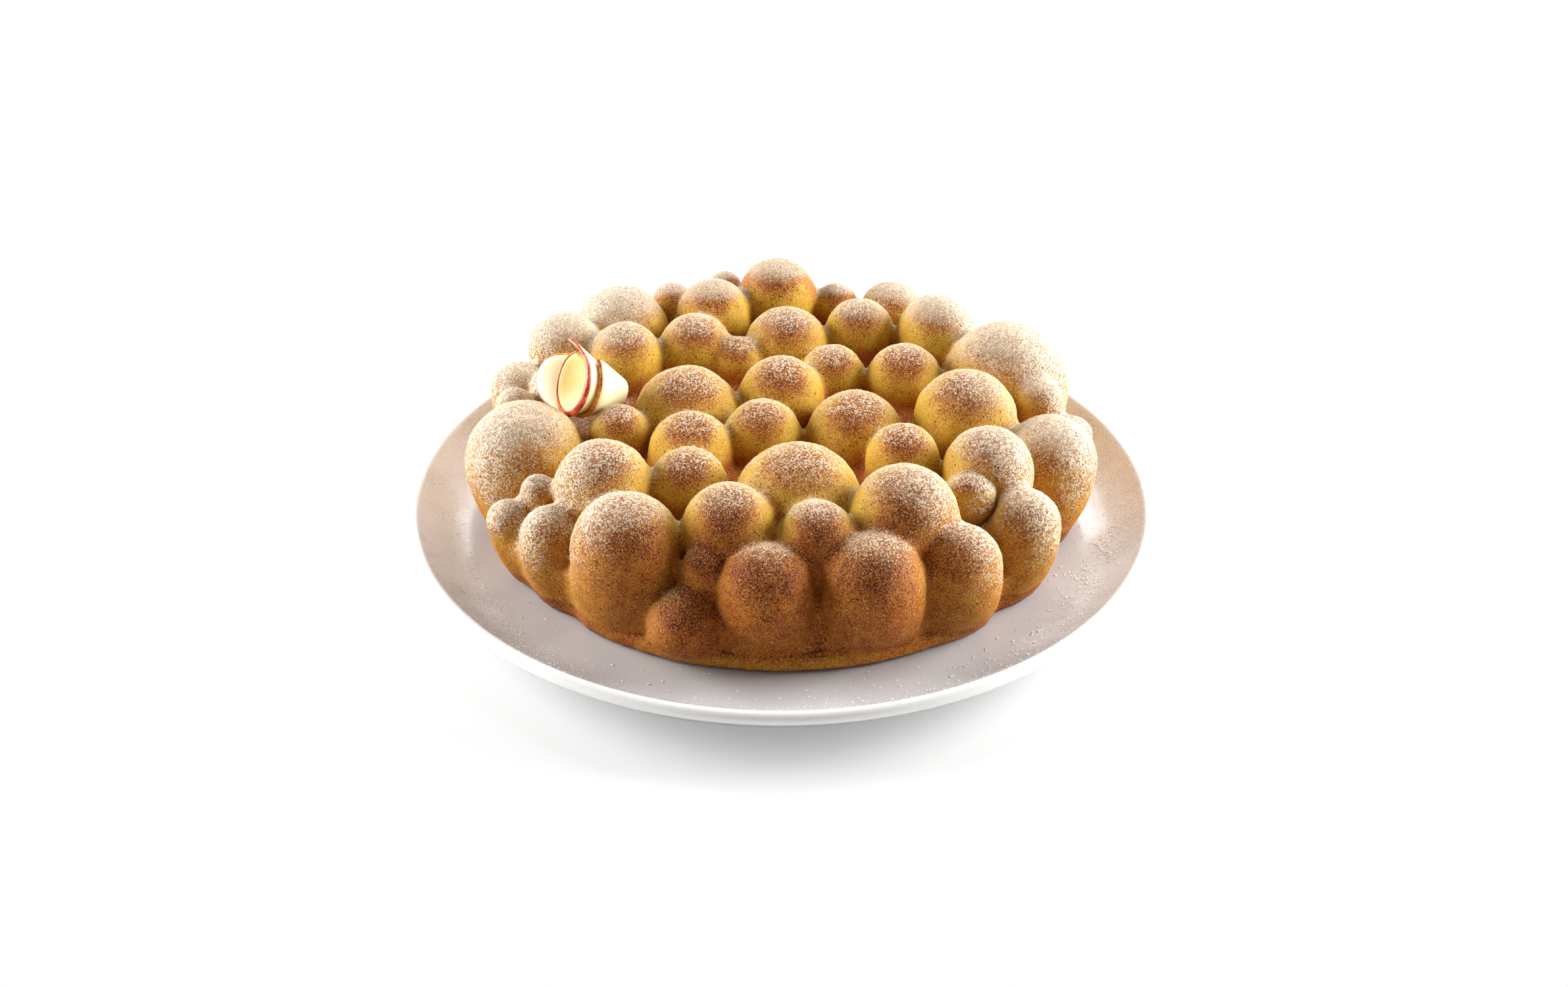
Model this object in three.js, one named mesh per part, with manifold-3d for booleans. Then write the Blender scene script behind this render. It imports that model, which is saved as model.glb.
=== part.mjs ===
// A sponge cake covered in round bubbles, on a coupe plate, with a rolled apple-slice garnish.
// Millimetres, +Z up. The table is Z = 0, the plate's axis is X = Y = 0, and the viewer is on the -Y side.

import * as THREE from 'three';
import { mergeVertices } from 'three/addons/utils/BufferGeometryUtils.js';
import Module from 'manifold-3d';

const wasm = await Module();
wasm.setup();

const degrees = Math.PI / 180;

// Air left between two pieces that rest on each other
const seatGap = 0.3;

// The cake: a low round core on a brim, studded with bubbles
const cakeRadius = 118;      // from the axis to where the bubbles on the wall reach
const wallDepth = 14;        // how far those bubbles stand out from the core at its foot
const wallLean = 10;         // how far the core's wall leans in on its way up
const coreHeight = 30;       // floor of the valleys between the bubbles on top
const brimDepth = 10;        // from the reach of the bubbles in to the brim
const brimHeight = 6;
const domeFoot = 2;          // height where a dome's drawn-out lower half ends
const domeFullness = 0.7;    // how much of its width along the wall that half keeps on its way down
const cakeSetBack = 6;       // the cake stands this far behind the plate's axis

// The plate: a flat well, a curved flank and a rounded lip, on a foot ring
const wellMargin = 2;        // clear well beyond the brim of the cake
const flankRun = 26;
const flankRise = 11;
const flankBend = 14;        // from the edge of the well to where the flank's end tangents cross
const lipThickness = 5;
const floorThickness = 6;
const footHeight = 7;
const footRadius = 78;
const footWidth = 7;
const footDraft = 1.5;

// The garnish: two thin slices rolled into cones, one inside the other
const sliceThickness = 2.2;
const rimRadius = 11.8;      // middle of the sheet, at the rim of each cone
const tailRadius = 3.8;      // the same at the narrow end
const coneAngle = 26.5;      // half the angle of the cone, degrees
const flapLength = 15;       // straight free end of the inner slice, along its rim
const flapBearing = 80;      // where that end leaves the round, degrees
const peelDepth = 0.9;
const mouthHeading = 205;    // the way the open end faces in plan, degrees from +X
const mouthTilt = 24;        // and how far it looks up
const garnishInset = 38;     // middle of the inner rim, in from the reach of the bubbles on the left
const garnishBack = 10;      // and behind the cake's axis

// Facets
const turnedFacets = 56;
const curveSteps = 4;
const largeDome = 13;        // domes of at least this radius get the finer ball
const fineBall = 2;
const plainBall = 1;
const flapSteps = 5;
const roundSteps = 22;
const slantSteps = 5;

// Domes on the crown: across, back, height of the centre above the core, radius
const crownDomes = [
  [2, 64, 5, 17], [-34, 59, 7, 15], [-17, 52, 5, 11], [20, 41, 5, 13], [48, 38, 5, 15],
  [0, 24, 5, 17], [-36, 15, 1, 21], [70, 4, 7, 20], [28, -1, 2, 19], [-7, -5, 5, 15],
  [-34, -16, 5, 16], [-61, -3, 5, 12], [-34, -42, 6, 15], [6, -52, 4, 24], [45, -26, 8, 14],
];

// Domes on the shoulder and the wall: bearing, inset of the centre from the reach, height, radius
const edgeDomes = [
  [6, 6, -5, 9], [12, 16, 5, 10], [26, 20, 1, 25], [47, 15, -12, 14], [48, 25, 9, 16], [65, 12, 4, 13],
  [67, 38, 7, 14], [77, 18, -10, 12], [77, 18, 7, 9], [91, 20, 10, 16], [102, 7, 9, 7], [108, 29, 9, 15],
  [110, 18, -8, 15], [114, 8, 7, 8], [129, 16, 4, 19], [141, 39, 8, 15], [146, 15, 8, 15], [160, 9, 1, 12],
  [161, 26, 5, 11], [170, 14, 5, 8], [187, 21, -1, 23], [206, 7, -5, 9], [206, 19, 5, 7], [216, 38, 9, 18],
  [217, 14, -2, 12], [235, 22, 4, 20], [251, 13, -15, 13], [253, 23, 3, 8], [256, 41, 9, 17],
  [267, 21, -2, 17], [279, 36, 9, 14], [289, 19, -2, 19], [303, 37, 9, 20], [308, 15, -3, 16],
  [325, 35, 6, 9], [327, 13, -1, 14], [335, 34, 9, 17], [353, 16, -1, 18],
];

const coreRadius = cakeRadius - wallDepth;
const brimRadius = cakeRadius - brimDepth;
const wellHeight = footHeight + floorThickness;
const wellRadius = brimRadius + cakeSetBack + wellMargin;
const plateRadius = wellRadius + flankRun;
const lean = coneAngle * degrees;

function atEdge([bearing, inset, lift, radius]) {
  const distance = cakeRadius - inset;
  const angle = bearing * degrees;
  return [distance * Math.cos(angle), distance * Math.sin(angle), lift, radius];
}

const domes = [...crownDomes, ...edgeDomes.map(atEdge)];

// A closed geometry as a solid that can be joined or cut
function solidOf(geometry) {
  const bare = geometry.clone();
  bare.deleteAttribute('normal');
  bare.deleteAttribute('uv');
  const merged = mergeVertices(bare);
  const vertProperties = new Float32Array(merged.getAttribute('position').array);
  const triVerts = new Uint32Array(merged.getIndex().array);
  return new wasm.Manifold(new wasm.Mesh({ numProp: 3, vertProperties, triVerts }));
}

// A joined solid as a geometry, with any pocket that its pieces closed off inside it filled in
function geometryOf(solid) {
  const { vertProperties, triVerts } = solid.getMesh();
  const geometry = new THREE.BufferGeometry();
  geometry.setAttribute('position', new THREE.BufferAttribute(new Float32Array(vertProperties), 3));
  geometry.setIndex(outwardShells(geometry.getAttribute('position'), triVerts));
  geometry.computeVertexNormals();
  return geometry;
}

// The triangles whose connected shell faces outwards: a sealed pocket's shell has a negative volume
function outwardShells(points, triangles) {
  const parent = Array.from({ length: points.count }, (_, vertex) => vertex);
  const shellOf = (vertex) => {
    let top = vertex;
    while (parent[top] !== top) top = parent[top];
    parent[vertex] = top;
    return top;
  };
  for (let i = 0; i < triangles.length; i += 3) {
    for (const next of [triangles[i + 1], triangles[i + 2]]) {
      parent[shellOf(next)] = shellOf(triangles[i]);
    }
  }
  const volumes = new Map();
  for (let i = 0; i < triangles.length; i += 3) {
    const shell = shellOf(triangles[i]);
    const [a, b, c] = [0, 1, 2].map((k) => new THREE.Vector3().fromBufferAttribute(points, triangles[i + k]));
    volumes.set(shell, (volumes.get(shell) ?? 0) + a.dot(b.cross(c)));
  }
  return Array.from(triangles).filter((vertex) => volumes.get(shellOf(vertex)) > 0);
}

function mesh(name, geometry, color, roughness) {
  const made = new THREE.Mesh(geometry, new THREE.MeshStandardMaterial({ color, roughness, metalness: 0 }));
  made.name = name;
  return made;
}

// Plate: one turned outline, from the underside out over the lip and back along the well
function plateGeometry() {
  const lip = lipThickness / 2;
  const lipCentre = plateRadius - lip;
  const rimHeight = wellHeight + flankRise;
  const outline = new THREE.Path();
  outline.moveTo(0, footHeight);
  outline.lineTo(footRadius - footWidth - footDraft, footHeight);
  outline.lineTo(footRadius - footWidth, 0);
  outline.lineTo(footRadius, 0);
  outline.lineTo(footRadius + footDraft, footHeight);
  outline.lineTo(wellRadius, footHeight);
  outline.quadraticCurveTo(wellRadius + flankBend, footHeight, lipCentre, rimHeight - lipThickness);
  outline.absarc(lipCentre, rimHeight - lip, lip, -Math.PI / 2, Math.PI / 2, false);
  outline.quadraticCurveTo(wellRadius + flankBend, wellHeight, wellRadius, wellHeight);
  outline.lineTo(0, wellHeight);
  const turned = new THREE.LatheGeometry(outline.getPoints(curveSteps), turnedFacets);
  return turned.rotateX(Math.PI / 2);
}

// A ball whose lower half is drawn out down to the foot: kept full along the wall, and tucked in under it
function domeGeometry([across, back, lift, radius]) {
  const centre = coreHeight + lift;
  const tuck = Math.max(0, Math.hypot(across, back) - coreRadius);
  const ball = new THREE.IcosahedronGeometry(radius, radius < largeDome ? plainBall : fineBall);
  const points = ball.getAttribute('position');
  for (let i = 0; i < points.count; i += 1) {
    const depth = -points.getZ(i) / radius;
    if (depth > 0) {
      points.setX(i, points.getX(i) - tuck * depth);
      points.setY(i, points.getY(i) * (1 + domeFullness * depth ** 2));
      points.setZ(i, -depth * (centre - domeFoot));
    }
  }
  return ball.rotateZ(Math.atan2(back, across)).translate(across, back, centre);
}

function cakeGeometry() {
  const core = new THREE.CylinderGeometry(coreRadius - wallLean, coreRadius, coreHeight, turnedFacets);
  core.rotateX(Math.PI / 2).translate(0, 0, coreHeight / 2);
  const brim = new THREE.CylinderGeometry(brimRadius, brimRadius, brimHeight, turnedFacets);
  brim.rotateX(Math.PI / 2).translate(0, 0, brimHeight / 2);
  let sponge = solidOf(core).add(solidOf(brim));
  for (const dome of domes) {
    sponge = sponge.add(solidOf(domeGeometry(dome)));
  }
  return geometryOf(sponge);
}

// Height of the cake's upper side over a point of its plan
function crownHeight(x, y) {
  let top = coreHeight;
  for (const [across, back, lift, radius] of domes) {
    const rise = radius ** 2 - (x - across) ** 2 - (y - back) ** 2;
    if (rise > 0) top = Math.max(top, coreHeight + lift + Math.sqrt(rise));
  }
  return top;
}

// How far short of the flap's foot a slice stops, so that its end clears the inner side of the flap.
// Spare is how far the slice lies outside the one with the flap.
function closingAngle(radius, spare) {
  const half = sliceThickness / 2;
  return Math.acos((radius - spare - half - seatGap) / (radius + half));
}

// Section of a rolled slice at one radius: points with their outward normals
function rolledSection(radius, spare, flap) {
  const start = flapBearing * degrees;
  const sweep = 2 * Math.PI - closingAngle(radius, spare);
  const section = [];
  const foot = [Math.cos(start), Math.sin(start)];
  for (let i = 0; i < flapSteps && flap > 0; i += 1) {
    const along = flap * (1 - i / flapSteps);
    const x = foot[0] * radius - foot[1] * along;
    const y = foot[1] * radius + foot[0] * along;
    section.push({ x, y, normal: foot });
  }
  for (let i = 0; i <= roundSteps; i += 1) {
    const angle = start - (sweep * i) / roundSteps;
    const normal = [Math.cos(angle), Math.sin(angle)];
    section.push({ x: normal[0] * radius, y: normal[1] * radius, normal });
  }
  return section;
}

// A strip of a rolled cone, as a closed sheet. Slant is measured from the cone's point, along the sheet.
function conicalSheet(sectionAt, slantFrom, slantTo, steps) {
  const half = sliceThickness / 2;
  const positions = [];
  const index = [];
  let last = 0;
  for (let j = 0; j <= steps; j += 1) {
    const slant = slantFrom + ((slantTo - slantFrom) * j) / steps;
    const section = sectionAt(slant * Math.sin(lean));
    last = section.length - 1;
    for (const { x, y, normal } of section) {
      for (const offset of [-half, half]) {
        positions.push(
          x + normal[0] * Math.cos(lean) * offset,
          y + normal[1] * Math.cos(lean) * offset,
          slant * Math.cos(lean) - Math.sin(lean) * offset,
        );
      }
    }
  }
  const corner = (i, j, side) => (j * (last + 1) + i) * 2 + side;
  const quad = (a, b, c, d) => index.push(a, b, c, a, c, d);
  for (let i = 0; i < last; i += 1) {
    for (let j = 0; j < steps; j += 1) {
      quad(corner(i, j, 1), corner(i, j + 1, 1), corner(i + 1, j + 1, 1), corner(i + 1, j, 1));
      quad(corner(i, j, 0), corner(i + 1, j, 0), corner(i + 1, j + 1, 0), corner(i, j + 1, 0));
    }
    quad(corner(i, 0, 0), corner(i, 0, 1), corner(i + 1, 0, 1), corner(i + 1, 0, 0));
    quad(corner(i, steps, 1), corner(i, steps, 0), corner(i + 1, steps, 0), corner(i + 1, steps, 1));
  }
  for (let j = 0; j < steps; j += 1) {
    quad(corner(0, j, 0), corner(0, j + 1, 0), corner(0, j + 1, 1), corner(0, j, 1));
    quad(corner(last, j, 1), corner(last, j + 1, 1), corner(last, j + 1, 0), corner(last, j, 0));
  }
  const geometry = new THREE.BufferGeometry();
  geometry.setAttribute('position', new THREE.Float32BufferAttribute(positions, 3));
  geometry.setIndex(index);
  geometry.computeVertexNormals();
  return geometry;
}

// Garnish, with its own +Z along the cones' axis, out of the open end, and the inner rim's middle at 0
function garnishGroup() {
  const rimSlant = rimRadius / Math.sin(lean);
  const tailSlant = tailRadius / Math.sin(lean);
  const peelFrom = rimSlant + seatGap;
  const nesting = sliceThickness + seatGap;
  const inner = (radius) => rolledSection(radius, 0, (flapLength * radius) / rimRadius);
  const outer = (radius) => rolledSection(radius, nesting / Math.cos(lean), 0);
  const garnish = new THREE.Group();
  for (const [layer, section, skin] of [['inner', inner, 0xc03a22], ['outer', outer, 0xc8641c]]) {
    const slice = new THREE.Group();
    slice.position.z = -rimSlant * Math.cos(lean) - (layer === 'outer' ? nesting / Math.sin(lean) : 0);
    const flesh = conicalSheet(section, tailSlant, rimSlant, slantSteps);
    const peel = conicalSheet(section, peelFrom, peelFrom + peelDepth, 1);
    slice.add(mesh(`apple_slice_${layer}`, flesh, 0xf3e7ae, 0.45));
    slice.add(mesh(`apple_peel_${layer}`, peel, skin, 0.35));
    garnish.add(slice);
  }
  const heading = mouthHeading * degrees;
  const tilt = mouthTilt * degrees;
  const axis = new THREE.Vector3(
    Math.cos(tilt) * Math.cos(heading),
    Math.cos(tilt) * Math.sin(heading),
    Math.sin(tilt),
  );
  const side = new THREE.Vector3(-Math.sin(heading), Math.cos(heading), 0);
  const up = new THREE.Vector3().crossVectors(axis, side);
  garnish.quaternion.setFromRotationMatrix(new THREE.Matrix4().makeBasis(side, up, axis));
  garnish.position.set(garnishInset - cakeRadius, garnishBack, 0);
  garnish.position.z = seatHeight(garnish);
  return garnish;
}

// How far a group must be lifted to clear the crown by the seat gap
function seatHeight(group) {
  group.updateMatrixWorld(true);
  const point = new THREE.Vector3();
  let lift = 0;
  group.traverse((piece) => {
    if (!piece.isMesh) return;
    const points = piece.geometry.getAttribute('position');
    for (let i = 0; i < points.count; i += 1) {
      point.fromBufferAttribute(points, i).applyMatrix4(piece.matrixWorld);
      lift = Math.max(lift, crownHeight(point.x, point.y) - point.z);
    }
  });
  return lift + seatGap;
}

const served = new THREE.Group();
served.add(mesh('plate', plateGeometry(), 0xe4dedb, 0.15));

const dessert = new THREE.Group();
dessert.position.set(0, cakeSetBack, wellHeight + seatGap);
dessert.add(mesh('cake', cakeGeometry(), 0xb9782c, 0.85));
dessert.add(garnishGroup());
served.add(dessert);

export default served;
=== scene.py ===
# A sponge cake covered in round bubbles, on a coupe plate, with a rolled apple-slice garnish.
# Metres, +Z up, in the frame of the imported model. The photograph looks from the -Y side.

import math
from types import SimpleNamespace

import bmesh
import bpy
import numpy as np
from mathutils import Matrix, Vector
from mathutils import noise as field
from mathutils.bvhtree import BVHTree


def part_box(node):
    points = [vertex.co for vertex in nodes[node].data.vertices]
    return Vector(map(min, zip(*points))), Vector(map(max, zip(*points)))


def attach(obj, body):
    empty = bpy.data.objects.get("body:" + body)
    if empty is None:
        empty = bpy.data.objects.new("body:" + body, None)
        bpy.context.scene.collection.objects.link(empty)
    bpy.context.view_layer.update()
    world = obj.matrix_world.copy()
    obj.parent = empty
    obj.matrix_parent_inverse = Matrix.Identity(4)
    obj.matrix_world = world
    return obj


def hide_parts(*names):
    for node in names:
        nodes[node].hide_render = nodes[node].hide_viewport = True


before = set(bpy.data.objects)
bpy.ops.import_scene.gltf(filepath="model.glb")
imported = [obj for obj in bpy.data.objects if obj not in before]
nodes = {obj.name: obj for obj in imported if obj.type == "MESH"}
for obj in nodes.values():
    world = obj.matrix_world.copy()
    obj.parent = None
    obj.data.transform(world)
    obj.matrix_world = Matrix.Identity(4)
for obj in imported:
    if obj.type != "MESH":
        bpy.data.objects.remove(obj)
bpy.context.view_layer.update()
dice = np.random.default_rng(11)
mm = 0.001

# The camera, worked out from the photograph
view_elevation = math.radians(32.16)
view_distance = 1062 * mm
view_side = 1.1 * mm
view_lens = 63.78
view_sensor = 36.0

# The cake's crust
crust_mesh_size = 1.28 * mm
fillet_rounds = 10           # neighbour averages that round off the creases between bubbles
relief_rounds = 150          # the same for the surface that crowns and valleys are told apart by
swell = 0.35 * mm            # makes up for what the rounding takes off the crowns
lump_size = 9 * mm
lump_height = 0.35 * mm
crumb_size = 2.6 * mm
crumb_height = 0.16 * mm
toast_and_shade_direction = (0.0, -0.42, 0.907)    # what faces this way is darkest: baking, and painted shade on the crowns' fronts
settle_and_light_direction = (0.0, 0.4, 0.917)     # and this way sugared most; the tilt to the back also paints light from behind
band_height = 6.5 * mm       # the plain band round the foot
foot_reach = 108 * mm        # how far the wall between the bubbles is filled out at the foot
fill_height = 30 * mm        # and the height where the filling ends
fill_taper = 10 * mm
wall_sectors = 240           # sectors that the wall's widest reach is measured in
side_foot = 107 * mm         # reach that the wall draws in to below its bubbles, at the sides
groove_depth = 0.5 * mm      # the groove above the plain band
groove_width = 1.1 * mm
wall_start = (84 * mm, 92 * mm)      # reaches between which the wall begins
fill_blend = 5 * mm          # how softly the filling runs into the bubbles
flat_limit = 0.05 * mm       # points this near the base lie on it
small_bubble = (69 * mm, -48 * mm, 51.5 * mm)    # brought out: its solid lies deep between two larger ones
small_bubble_radius = 9.5 * mm
small_bubble_blend = 2 * mm

# The plate, turned to the outline of its solid, with its lip rolled a little further
plate_segments = 240
well_radius = 116 * mm
well_height = 13 * mm
flank_bend = 14 * mm
lip_thickness = 5 * mm
lip_roll = 0.8               # how far past its top the lip stays round, in radians
foot_height = 7 * mm
foot_radius = 78 * mm
foot_width = 7 * mm
foot_draft = 1.5 * mm
foot_round = 1.2 * mm
flat_ring = 96 * mm          # a ring of points between the foot and the flank
lip_light_band = (137 * mm, 139 * mm)      # where the glaze turns lighter at the lip: painted light on the rim
frost_band = (110 * mm, 128 * mm)    # where the fine sugar on the brim sets in
frost_front = (-120 * mm, -60 * mm)  # there is less of it at the front, between these places
bare_foot = (0.6 * mm, 1.1 * mm)     # the foot is unglazed below these heights

# The garnish, rolled to the same cones as its solids
slice_thickness = 2.2 * mm
rim_radius = 11.8 * mm
tail_radius = 3.8 * mm
cone_angle = math.radians(26.5)
flap_length = 17 * mm
flap_curl = 45 * mm          # radius that the free end curls over the mouth with
lobe_reach = 14 * mm         # how far the outer slice stands out past its rim, on its far side
lobe_curl = 20 * mm          # radius that it turns outward with
lobe_bearing = math.radians(212)
flap_bearing = math.radians(80)
peel_depth = 0.9 * mm
skin_reach = 7 * mm          # how far the flesh is yellow beside its peel
seat_gap = 0.3 * mm
mouth_heading = math.radians(205)
mouth_tilt = math.radians(24)
rim_slant = rim_radius / math.sin(cone_angle)
tail_slant = tail_radius / math.sin(cone_angle)
flap_steps = 14
round_steps = 84
slice_steps = 18
peel_steps = 6
lobe_half_widths = (math.radians(84), math.radians(75))
far_bearing = math.radians(165)      # where the inner slice's peel is narrowest
garnish_sink = (1.2 * mm, -0.8 * mm, -0.6 * mm)  # how far the slices lie from their solids

# Sugar
cake_grains = 34000
plate_grains = 2200
heaps = [                    # small heaps at the right of the cake: their middle, spread and count
    ((122 * mm, -24 * mm), (3 * mm, 6 * mm), 200),
    ((114 * mm, -44 * mm), (5 * mm, 6 * mm), 120),
]
thick_bearing = 0.9          # where the loose grains lie thickest, in radians from the right to the front
thick_spread = 0.6
thin_chance = 0.3            # chance that a grain far from there is kept
near_share = 0.6             # share of the grains that is strewn close to the rim
near_spread = 9 * mm
far_spread = 26 * mm
grain_margin = 3 * mm        # loose grains keep this clear of the rim and of the cake's foot
garnish_clearance = 1.2 * mm         # grains nearer to the garnish than this are left out
cake_grain_sizes = (0.3, 0.62)       # least and largest, in millimetres
plate_grain_size = 0.5       # the least, in millimetres, and how much larger they get
plate_grain_spread = 0.85
corner_lengths = (0.7, 1.2)  # least and largest reach of a grain's corners, as shares of half its size
grain_flatness = 0.65        # how far a grain is pressed flat onto what it lies on
grain_lift = 0.2             # height of its middle, as a share of its size

# Stage and light
floor_half = 3.0
floor_drop = 0.2 * mm
floor_shade = (0.9, 0.9, 0.9, 1.0)
glow_fade = (0.12, 0.26)     # distances between which the floor's shadow fades into white
room_strength = 0.26
room_tint = (1.0, 0.98, 0.96, 1.0)
plain_white = (1.0, 1.0, 1.0)
warm_white = (1.0, 0.99, 0.98)
lamp_aim = (0.0, 0.0, 40 * mm)
lamps = [                    # name, place, size, power in watts, tint
    ("left", (-1.13, 0.2, 0.44), (0.8, 0.7), 27.0, warm_white),
    ("right", (1.13, 0.24, 0.44), (0.8, 0.7), 33.0, warm_white),
    ("back", (0.3, 1.1, 0.62), (0.9, 0.5), 10.0, plain_white),
    ("top", (0.0, 0.55, 1.2), (0.8, 0.25), 3.0, plain_white),
]


def colour(red, green, blue):
    """A colour as a screen shows it, 0 to 255, in the linear values that shaders take."""
    shown = np.array([red, green, blue]) / 255
    linear = np.where(shown <= 0.04045, shown / 12.92, ((shown + 0.055) / 1.055) ** 2.4)
    return (*linear.tolist(), 1.0)


def smooth_step(low, high, value):
    share = np.clip((value - low) / (high - low), 0.0, 1.0)
    return share * share * (3.0 - 2.0 * share)


def noise_at(points, size, seed):
    """Smooth noise, about -1 to 1, at each point."""
    places = points / size + seed
    return np.array([field.noise(Vector(place)) for place in places])


# Meshes

def points_of(mesh):
    points = np.empty(len(mesh.vertices) * 3)
    mesh.vertices.foreach_get("co", points)
    return points.reshape(-1, 3)


def normals_of(mesh):
    normals = np.empty(len(mesh.vertices) * 3, dtype=np.float32)
    mesh.vertex_normals.foreach_get("vector", normals)
    return normals.reshape(-1, 3).astype(float)


def edges_of(mesh):
    edges = np.empty(len(mesh.edges) * 2, dtype=np.int64)
    mesh.edges.foreach_get("vertices", edges)
    return edges.reshape(-1, 2)


def move_points(mesh, points):
    mesh.vertices.foreach_set("co", points.astype(np.float32).ravel())
    mesh.update()


def relax(points, edges, rounds, share=0.5):
    """Moves each point towards the mean of its neighbours, again and again."""
    first, second = edges.T
    count = len(points)
    neighbours = np.bincount(first, minlength=count) + np.bincount(second, minlength=count)
    for _ in range(rounds):
        total = np.empty_like(points)
        for axis in range(3):
            total[:, axis] = np.bincount(first, points[second, axis], count)
            total[:, axis] += np.bincount(second, points[first, axis], count)
        points = points + share * (total / neighbours[:, None] - points)
    return points


def store(mesh, name, values):
    """Keeps one number for each point, for the materials to read."""
    attribute = mesh.attributes.new(name, "FLOAT", "POINT")
    attribute.data.foreach_set("value", values.astype(np.float32))


def make_piece(name, mesh, materials, body, replaced=(), smooth=True):
    """A named object, smooth or with flat faces, which rides on a body."""
    piece = bpy.data.objects.new(name, mesh)
    bpy.context.collection.objects.link(piece)
    mesh.materials.clear()
    for material in materials:
        mesh.materials.append(material)
    mesh.polygons.foreach_set("use_smooth", [smooth] * len(mesh.polygons))
    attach(piece, body)
    if replaced:
        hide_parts(*replaced)


def mesh_of(name, points, faces):
    mesh = bpy.data.meshes.new(name)
    mesh.from_pydata(points, [], faces)
    mesh.update()
    return mesh


# Materials

def new_material(name):
    material = bpy.data.materials.new(name)
    material.use_nodes = True
    return material, material.node_tree, material.node_tree.nodes["Principled BSDF"]


def feed(tree, socket, value):
    """Sets a socket to a value, or links another node's output to it."""
    if isinstance(value, bpy.types.NodeSocket):
        tree.links.new(value, socket)
    else:
        socket.default_value = value


def object_place(tree):
    return tree.nodes.new("ShaderNodeTexCoord").outputs["Object"]


def stretched(tree, place, scale):
    mapping = tree.nodes.new("ShaderNodeMapping")
    feed(tree, mapping.inputs["Vector"], place)
    mapping.inputs["Scale"].default_value = scale
    return mapping.outputs["Vector"]


def length_of(tree, vector):
    node = tree.nodes.new("ShaderNodeVectorMath")
    node.operation = "LENGTH"
    feed(tree, node.inputs[0], vector)
    return node.outputs["Value"]


def axes_of(tree, vector):
    node = tree.nodes.new("ShaderNodeSeparateXYZ")
    feed(tree, node.inputs[0], vector)
    return node.outputs


def attribute(tree, name):
    node = tree.nodes.new("ShaderNodeAttribute")
    node.attribute_name = name
    return node.outputs["Fac"]


def noise(tree, place, size, detail=2.0, roughness=0.5):
    node = tree.nodes.new("ShaderNodeTexNoise")
    feed(tree, node.inputs["Vector"], place)
    node.inputs["Scale"].default_value = 1 / size
    node.inputs["Detail"].default_value = detail
    node.inputs["Roughness"].default_value = roughness
    return node.outputs["Fac"]


def cells(tree, place, size):
    """Distance from the middle of the nearest cell, 0 to about 1, and a random colour for each cell."""
    node = tree.nodes.new("ShaderNodeTexVoronoi")
    feed(tree, node.inputs["Vector"], place)
    node.inputs["Scale"].default_value = 1 / size
    return node.outputs["Distance"], node.outputs["Color"]


def calc(tree, operation, first, second, clamp=False):
    node = tree.nodes.new("ShaderNodeMath")
    node.operation = operation
    node.use_clamp = clamp
    feed(tree, node.inputs[0], first)
    feed(tree, node.inputs[1], second)
    return node.outputs[0]


def remap(tree, value, low, high, to_low=0.0, to_high=1.0):
    node = tree.nodes.new("ShaderNodeMapRange")
    node.interpolation_type = "SMOOTHSTEP"
    feed(tree, node.inputs["Value"], value)
    node.inputs["From Min"].default_value = low
    node.inputs["From Max"].default_value = high
    node.inputs["To Min"].default_value = to_low
    node.inputs["To Max"].default_value = to_high
    return node.outputs["Result"]


def blend_colours(tree, share, first, second):
    node = tree.nodes.new("ShaderNodeMix")
    node.data_type = "RGBA"
    feed(tree, node.inputs[0], share)
    # This node's sockets for colours come after those for numbers and vectors
    feed(tree, node.inputs[6], first)
    feed(tree, node.inputs[7], second)
    return node.outputs[2]


def blend_surfaces(tree, output, share, first, second):
    node = tree.nodes.new("ShaderNodeMixShader")
    feed(tree, node.inputs[0], share)
    feed(tree, node.inputs[1], first.outputs[0])
    feed(tree, node.inputs[2], second.outputs[0])
    feed(tree, output.inputs["Surface"], node.outputs[0])


def ramp(tree, value, stops):
    node = tree.nodes.new("ShaderNodeValToRGB")
    feed(tree, node.inputs["Fac"], value)
    elements = node.color_ramp.elements
    while len(elements) < len(stops):
        elements.new(0.5)
    for element, (position, shade) in zip(elements, stops):
        element.position = position
        element.color = shade
    return node.outputs["Color"]


def bump(tree, height, depth, strength):
    node = tree.nodes.new("ShaderNodeBump")
    node.inputs["Strength"].default_value = strength
    node.inputs["Distance"].default_value = depth
    feed(tree, node.inputs["Height"], height)
    return node.outputs["Normal"]


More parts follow.
